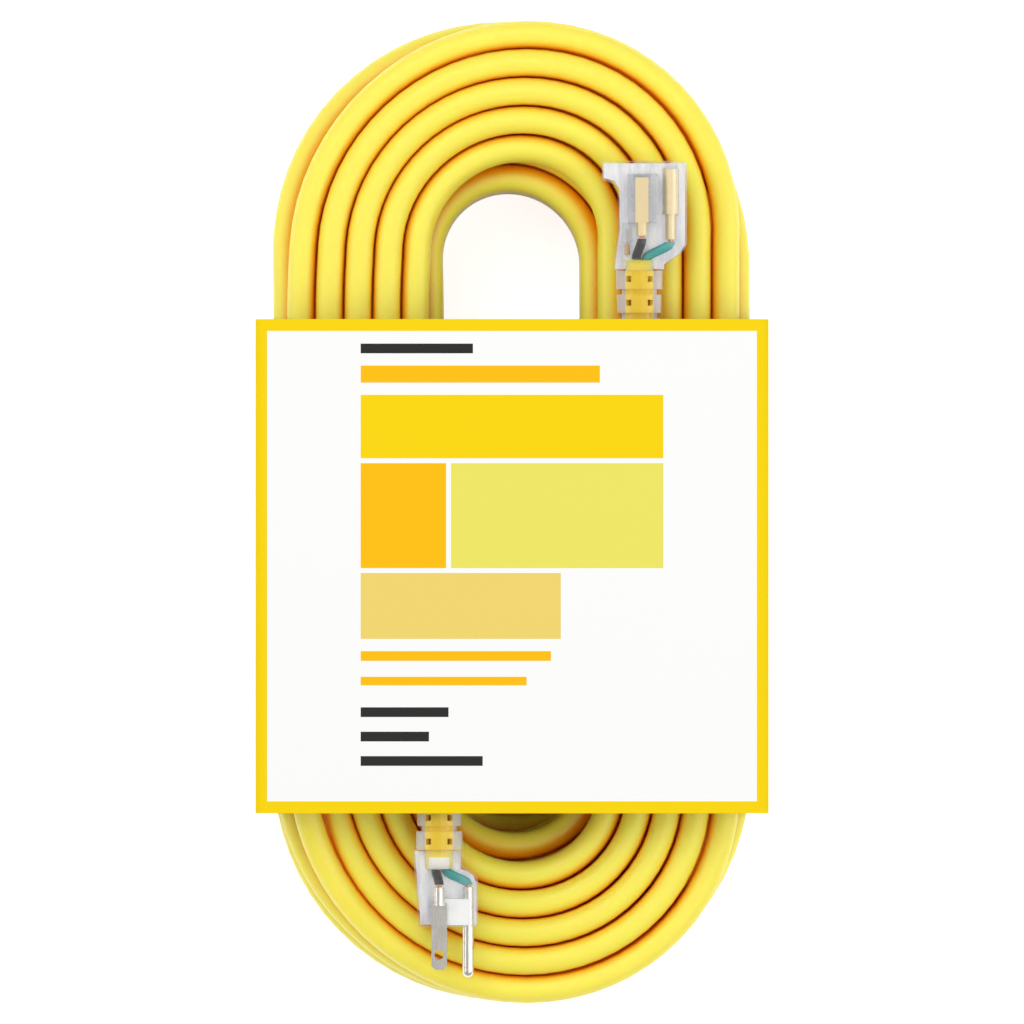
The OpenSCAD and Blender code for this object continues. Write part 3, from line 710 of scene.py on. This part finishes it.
def card_material(s, low, high):
    """Coated folding card, offset printed: flat blocks of ink under a thin
    satin coat, on a white ground."""
    mat, pbr = material("folding_card_printed")
    where = node(mat, "ShaderNodeTexCoord")
    axes = node(mat, "ShaderNodeSeparateXYZ", (),
                {0: where.outputs["Object"]})
    x, y, z = axes.outputs[:3]
    ground = block_mask(mat, x, y, low[0] + s.border, high[0] - s.border,
                        low[1] + s.border, high[1] - s.border)
    colour = blend(mat, ground, linear(s.yellow), linear(s.card))
    front = maths(mat, "GREATER_THAN", z, FRONT_FROM)
    for ink, *edges in PRINT:
        block = block_mask(mat, x, y, *[edge * MM for edge in edges])
        colour = blend(mat, maths(mat, "MULTIPLY", block, front),
                       colour, linear(getattr(s, ink)))
    # Ink is on the outer face only: the distance to the folded outline, a
    # box with rounded creases, is above minus half the card's thickness.
    squares = []
    for value, centre, half in ((x, 0.0, (high[0] - low[0]) / 2),
                                (z, high[2] / 2, high[2] / 2)):
        past = maths(mat, "SUBTRACT", distance_from(mat, value, centre),
                     half - s.crease)
        squares.append(maths(mat, "POWER",
                             maths(mat, "MAXIMUM", past, 0.0), 2.0))
    printed = maths(mat, "GREATER_THAN", maths(mat, "ADD", *squares),
                    (s.crease - 0.5 * s.thickness) ** 2)
    feed(mat, pbr.inputs["Base Color"],
         blend(mat, printed, linear(s.board), colour))
    bumps(mat, pbr, noise(mat, where.outputs["Object"], 900.0, 3.0),
          0.05, 0.1 * MM)
    set_values(pbr, {"Roughness": 0.62, "Specular IOR Level": 0.12})
    return mat


# --------------------------------------------------------------------------
# Operators
# --------------------------------------------------------------------------
# The height at which the camera's view width is measured, and the lens's
# sensor. The floor is a square from -FLOOR_HALF to FLOOR_HALF, just under
# the object.
VIEW_HEIGHT = 90 * MM
SENSOR = 36
FLOOR_HALF, FLOOR_LINES, FLOOR_DROP = 3, 41, 0.2 * MM

# Each lamp's name, place, width and share of the key's strength.
LAMPS = (
    ("key_lamp", (-0.6, 0.95, 2.1), 1.6, 1.0),
    ("fill_lamp", (0.95, -0.4, 2.1), 1.4, 0.6),
    ("left_lamp", (-2.0, 0.15, 1.3), 1.2, 0.68),
    ("right_lamp", (2.0, 0.0, 1.3), 1.2, 0.75),
)


class CORD_OT_stage(bpy.types.Operator):
    """Camera, pale floor and soft lamps."""

    bl_idname = "cord.stage"
    bl_label = "Stage"

    def execute(self, context):
        s = context.scene.cord_stage
        scene = context.scene
        cam = bpy.data.cameras.new("camera")
        cam.sensor_width = SENSOR
        cam.lens = SENSOR * (s.distance - VIEW_HEIGHT) / s.view_width
        cam.clip_end = 50
        eye = bpy.data.objects.new("camera", cam)
        eye.location = (0, 0, s.distance)
        scene.collection.objects.link(eye)
        scene.camera = eye

        line = np.linspace(-FLOOR_HALF, FLOOR_HALF, FLOOR_LINES)
        x, y = [v.ravel() for v in np.meshgrid(line, line)]
        floor = mesh_object(
            "floor", np.stack([x, y, np.full(len(x), -FLOOR_DROP)], 1),
            grid_faces(FLOOR_LINES, FLOOR_LINES, False))
        mat, pbr = material("floor_paper")
        light = node(mat, "ShaderNodeLightPath")
        seen = maths(mat, "MAXIMUM", light.outputs["Is Camera Ray"],
                     light.outputs["Is Glossy Ray"])
        seen = maths(mat, "MAXIMUM", seen,
                     light.outputs["Is Transmission Ray"])
        feed(mat, pbr.inputs["Emission Strength"],
             maths(mat, "MULTIPLY", seen, s.floor_glow))
        set_values(pbr, {"Base Color": linear("#EDEDED"), "Roughness": 0.9,
                         "Emission Color": (1, 1, 1, 1)})
        paint(floor, mat)

        world = scene.world or bpy.data.worlds.new("world")
        scene.world = world
        world.use_nodes = True
        back = world.node_tree.nodes["Background"]
        back.inputs["Color"].default_value = (1, 1, 1, 1)
        back.inputs["Strength"].default_value = s.ambient
        for name, place, width, share in LAMPS:
            lamp = bpy.data.lights.new(name, "AREA")
            lamp.shape = "DISK"
            lamp.size = width
            lamp.energy = s.key * share
            obj = bpy.data.objects.new(name, lamp)
            obj.location = place
            # It looks at the object: tilted from straight down, then turned.
            v = -np.array(place)
            obj.rotation_euler = (
                float(np.arctan2(np.hypot(v[0], v[1]), -v[2])), 0,
                float(np.arctan2(v[0], -v[1]) + np.pi))
            scene.collection.objects.link(obj)
        scene.view_settings.view_transform = "Standard"
        return {"FINISHED"}


# Sides of the tube, and points on each stretch between hand-set points.
CORD_SIDES = 18
ROUTE_STEPS = 5

# Heading of the last fold where its lead starts.
LEAD_SLOPE = (0, 1, 0.21)

# Painted reflection: on the cord's first stretch inside the plug, the faces
# above and below, where the sine of the angle round the cord is larger than
# this, are coloured white for the reflection on the plug's raised cover.
PAINTED_REFLECTION_FROM = 0.7


class CORD_OT_cord(bpy.types.Operator):
    """The whole cord in one unbroken tube, from plug to connector."""

    bl_idname = "cord.cord"
    bl_label = "Cord"

    def execute(self, context):
        s = context.scene.cord_cord
        turns = hank_path(s)
        ahead = (0, 1, 0)
        slope = unit(np.array(LEAD_SLOPE))
        first = spline(PLUG_ROUTE, ROUTE_STEPS, ahead, ahead)[:-1]
        last = spline(CONNECTOR_ROUTE, ROUTE_STEPS, slope, ahead)
        path = np.concatenate([first, turns, last])
        length = float(np.linalg.norm(np.diff(path, axis=0), axis=1).sum())
        cord = tube("cord", path, s.diameter / 2, CORD_SIDES)
        paint(cord, jacket_material(s, length))
        # Painted reflection: the cord's first stretch inside the plug is white
        # above and below, for the reflection on the plug's raised cover over
        # the jacket.
        cord.data.materials.append(plastic_material(
            "painted_reflection_white", "#F4F0E6", 0.5))
        turn = (np.arange(CORD_SIDES) + 0.5) * 2 * np.pi / CORD_SIDES
        index = np.zeros(len(cord.data.polygons), int)
        index[:CORD_SIDES] = np.abs(np.sin(turn)) > PAINTED_REFLECTION_FROM
        cord.data.polygons.foreach_set("material_index", index)
        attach(cord, "hank")
        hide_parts("hank_turns", "hank_core", "plug_lead",
                    "connector_lead", "plug_jacket_end",
                    "connector_jacket_end")
        return {"FINISHED"}


class CORD_OT_sleeve(bpy.types.Operator):
    """The printed card sleeve."""

    bl_idname = "cord.sleeve"
    bl_label = "Card sleeve"

    def execute(self, context):
        s = context.scene.cord_sleeve
        paint(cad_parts["sleeve"],
              card_material(s, *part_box("sleeve")))
        return {"FINISHED"}


WEB_THICKNESS = 0.5 * MM

# Width of the rounded edges of the mouldings that are softened copies.
ROUND_EDGES = {
    "plug_body": 0.9 * MM, "connector_body": 0.9 * MM,
    "plug_strain_relief": 0.9 * MM, "connector_strain_relief": 0.9 * MM,
    "contact_carrier": 0.5 * MM, "plug_insert": 0.4 * MM,
}


class CORD_OT_caps(bpy.types.Operator):
    """The clear plug and connector with what is inside them."""

    bl_idname = "cord.caps"
    bl_label = "Plug and connector"

    def execute(self, context):
        s = context.scene.cord_caps
        clear = clear_material(s, "pvc_clear_moulded", s.haze)
        collar = clear_material(s, "pvc_clear_relief", s.haze,
                                (PLUG_PLACE[0], CONNECTOR_PLACE[0]))
        frosted = clear_material(s, "nylon_natural_moulded", 0.3)
        nickel = metal_material("brass_nickel_plated", s.nickel, 0.24)
        brass = metal_material("brass_stamped", s.brass, 0.42)
        copper = metal_material("copper_strand", s.copper, 0.35)
        white = plastic_material("nylon_white_moulded", "#F6F6F3", 0.45)
        line = plastic_material("pvc_line_wire", s.line, 0.3)
        neutral = plastic_material("pvc_neutral_wire", s.neutral, 0.35)
        ground = plastic_material("pvc_ground_wire", s.ground, 0.3)
        neon = clear_material(s, "glass_neon_lamp", 0.3)
        ceramic = plastic_material("lacquer_resistor", "#C9A66B", 0.35)
        finishes = {
            "plug_body": clear, "connector_body": clear,
            "plug_strain_relief": collar, "connector_strain_relief": collar,
            "plug_insert": white, "contact_carrier": frosted,
            "plug_line_blade": nickel, "plug_neutral_blade": nickel,
            "plug_ground_pin": nickel, "connector_line_contact": brass,
            "connector_neutral_contact": brass,
            "connector_ground_contact": brass,
            "plug_copper_ends": copper, "connector_copper_ends": copper,
            "lamp_leads": copper, "lamp_resistor": ceramic,
            "indicator_lamp": neon, "plug_line_wire": line,
            "connector_line_wire": line, "plug_neutral_wire": neutral,
            "connector_neutral_wire": neutral,
            "plug_ground_wire": ground, "connector_ground_wire": ground,
        }
        web = milky_material(s)
        for name, outline, place in (
                ("plug_inner_web", PLUG_WEB, PLUG_PLACE),
                ("connector_inner_web", CONNECTOR_WEB, CONNECTOR_PLACE)):
            obj = plate(name, outline, place, WEB_THICKNESS)
            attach(obj, "hank")
            paint(obj, web)
        for name, mat in finishes.items():
            if name in ROUND_EDGES:
                obj = softened(name, name + "_moulding", ROUND_EDGES[name],
                               flat=mat is not collar)
            else:
                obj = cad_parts[name]
            paint(obj, mat)
        return {"FINISHED"}


class CORD_PT_panel(bpy.types.Panel):
    """Lists the steps in the 3D view's sidebar."""

    bl_label = "Extension cord"
    bl_idname = "CORD_PT_panel"
    bl_space_type = "VIEW_3D"
    bl_region_type = "UI"
    bl_category = "Cord"

    def draw(self, context):
        for op in OPERATORS:
            self.layout.operator(op.bl_idname)


GROUPS = {"cord_stage": StageSettings, "cord_cord": CordSettings,
          "cord_sleeve": SleeveSettings, "cord_caps": CapSettings}
OPERATORS = (CORD_OT_stage, CORD_OT_cord, CORD_OT_sleeve, CORD_OT_caps)


def register():
    for cls in (*GROUPS.values(), *OPERATORS, CORD_PT_panel):
        bpy.utils.register_class(cls)
    for name, cls in GROUPS.items():
        setattr(bpy.types.Scene, name,
                bpy.props.PointerProperty(type=cls))


def unregister():
    for name in GROUPS:
        delattr(bpy.types.Scene, name)
    for cls in (CORD_PT_panel, *OPERATORS[::-1], *GROUPS.values()):
        bpy.utils.unregister_class(cls)


def main():
    """Builds everything in order."""
    register()
    bpy.ops.cord.stage()
    bpy.ops.cord.caps()
    bpy.ops.cord.cord()
    bpy.ops.cord.sleeve()


if __name__ == "__main__":
    main()
